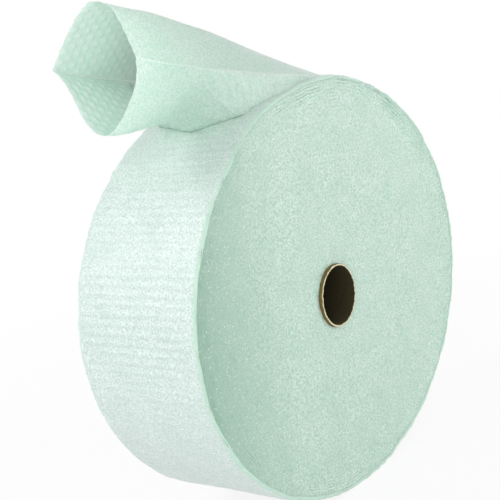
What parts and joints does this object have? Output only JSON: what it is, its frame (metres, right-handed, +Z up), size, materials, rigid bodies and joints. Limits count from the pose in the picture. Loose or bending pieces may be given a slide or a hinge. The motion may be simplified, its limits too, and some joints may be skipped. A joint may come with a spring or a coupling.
{
  "type": "bubble wrap roll",
  "caption": "Roll of green-tinted bubble film on a cardboard core, lying on its side with the free tube end open.",
  "frame": {"origin": "middle of the flat spot that the roll rests on, on the floor", "axes": "+Z up; Y along the core, with the front face toward -Y; the free tail leaves the top toward -X"},
  "size_m": [0.641, 0.177, 0.6558],
  "materials": {
    "film": "gloss",
    "board": "matte"
  },
  "bodies": {
    "root": {"bubble_film": "film", "cardboard_core": "board"}
  },
  "joints": []
}
